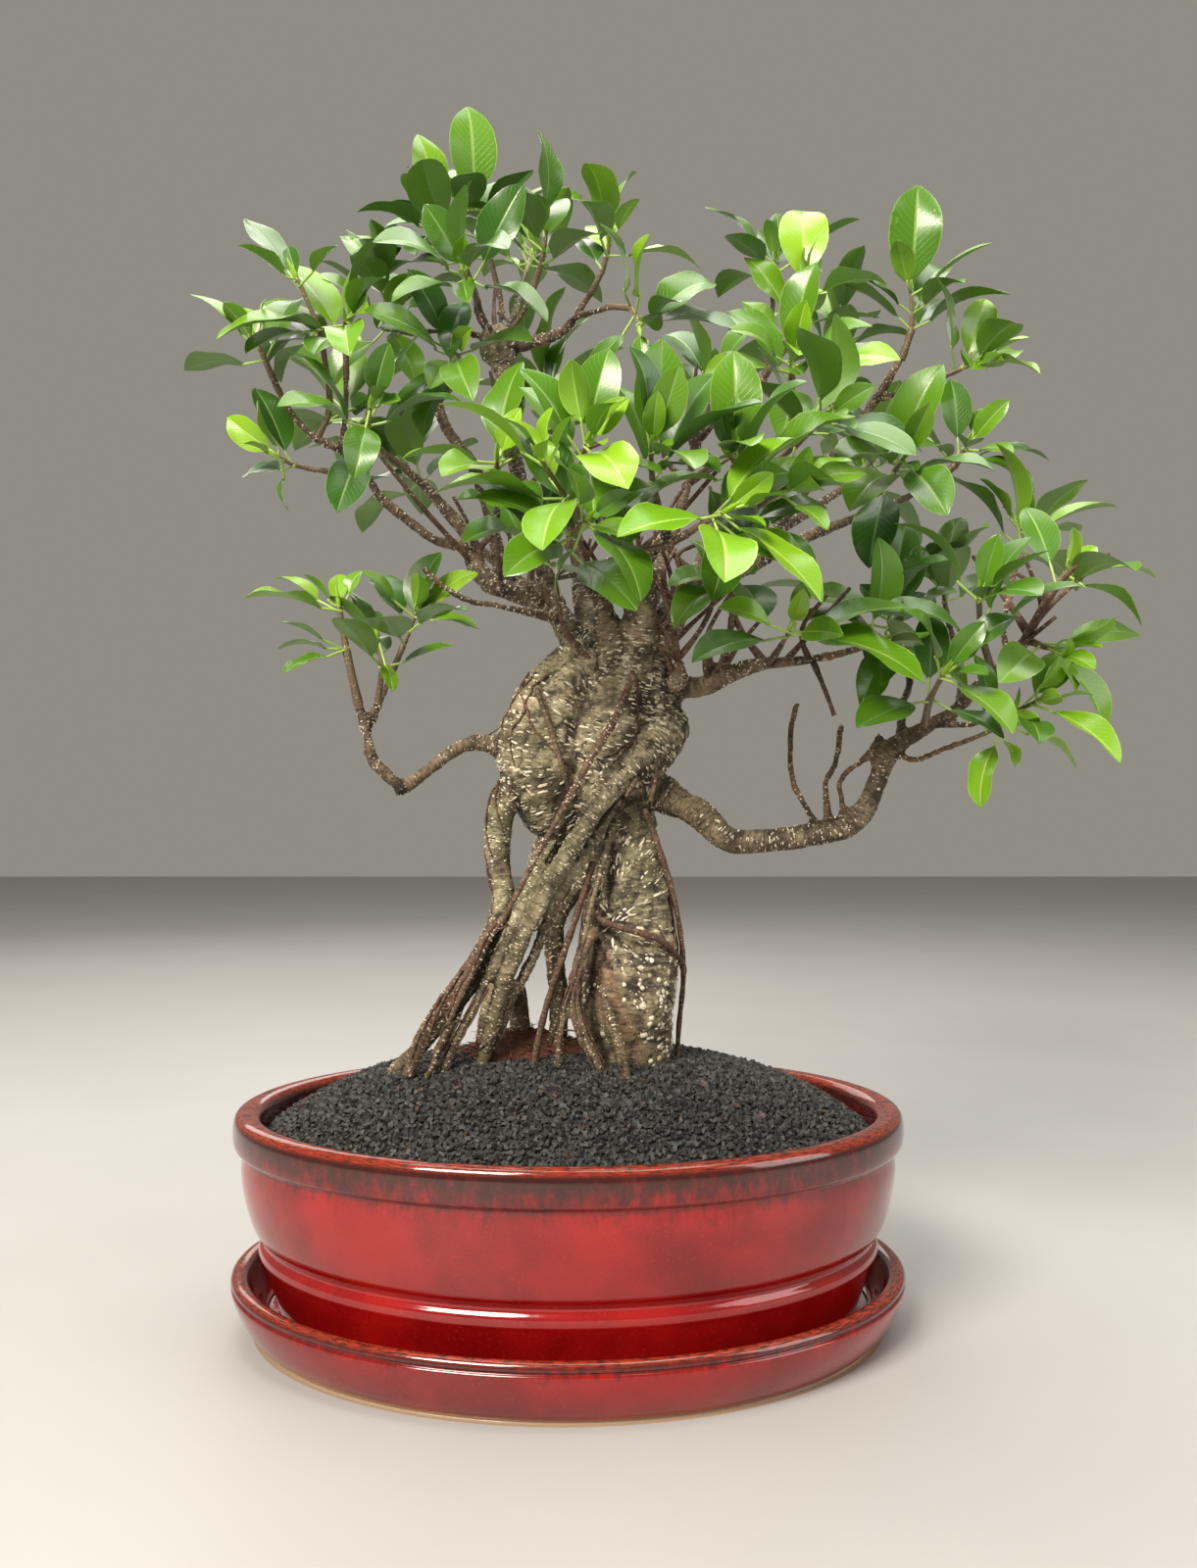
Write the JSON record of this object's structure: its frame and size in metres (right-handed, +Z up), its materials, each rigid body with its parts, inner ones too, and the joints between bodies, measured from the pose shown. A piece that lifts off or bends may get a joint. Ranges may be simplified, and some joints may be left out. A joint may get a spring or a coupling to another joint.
{
  "type": "chinese banyan bonsai",
  "caption": "Broadleaf fig bonsai with a trunk of thick exposed roots, spreading leafy branches, in an oval red-glazed pot on its saucer.",
  "frame": {"origin": "centre of the saucer's flat underside, on the surface that the plant stands on", "axes": "+Z up along the tree's height, +X to the viewer's right along the oval pot's length, +Y away from the viewer across the pot's width"},
  "size_m": [0.4215, 0.3126, 0.569],
  "materials": {
    "red_glaze": "glossy flambe glaze on stoneware",
    "bark": "smooth grey-brown bark with pale lenticels",
    "leaf": "glossy leathery leaf",
    "gravel": "rough black lava gravel",
    "peat": "fibrous peat and fine roots",
    "screen": "matt plastic mesh"
  },
  "bodies": {
    "root": {"saucer": "red_glaze", "pot": "red_glaze", "drain_screen_left": "screen", "drain_screen_right": "screen", "gravel_soil": "gravel", "root_ball_peat": "peat", "trunk_roots_and_limbs": "bark", "spray_apex_top": "leaf", "spray_apex_left": "leaf", "spray_apex_right": "leaf", "spray_apex_far": "leaf", "spray_apex_front": "leaf", "spray_apex_back": "leaf", "spray_arm_low": "leaf", "spray_left_high": "leaf", "spray_left_flat": "leaf", "spray_left_rise": "leaf", "spray_left_end": "leaf", "spray_left_out": "leaf", "spray_left_under": "leaf", "spray_left_near": "leaf", "spray_left_behind": "leaf", "spray_left_inner": "leaf", "spray_front_middle": "leaf", "spray_front_left": "leaf", "spray_front_high": "leaf", "spray_front_right": "leaf", "spray_front_low_left": "leaf", "spray_front_low": "leaf", "spray_front_tip": "leaf", "spray_low_left_mid": "leaf", "spray_front_far": "leaf", "spray_right_top": "leaf", "spray_right_bright": "leaf", "spray_right_peak": "leaf", "spray_right_crown": "leaf", "spray_right_mid_high": "leaf", "spray_right_mid_front": "leaf", "spray_right_side": "leaf", "spray_right_upper_side": "leaf", "spray_right_front": "leaf", "spray_right_tall": "leaf", "spray_right_end": "leaf", "spray_right_end_low": "leaf", "spray_right_under": "leaf", "spray_right_hanging": "leaf", "spray_right_inner_up": "leaf", "spray_right_inner_front": "leaf", "spray_right_inner": "leaf", "spray_right_low_front": "leaf", "spray_mid_end": "leaf", "spray_mid_front": "leaf", "spray_mid_up": "leaf", "spray_low_a": "leaf", "spray_low_b": "leaf", "spray_low_c": "leaf", "spray_back_left": "leaf", "spray_back_right": "leaf", "spray_back_far_left": "leaf", "spray_back_far_right": "leaf"}
  },
  "joints": []
}
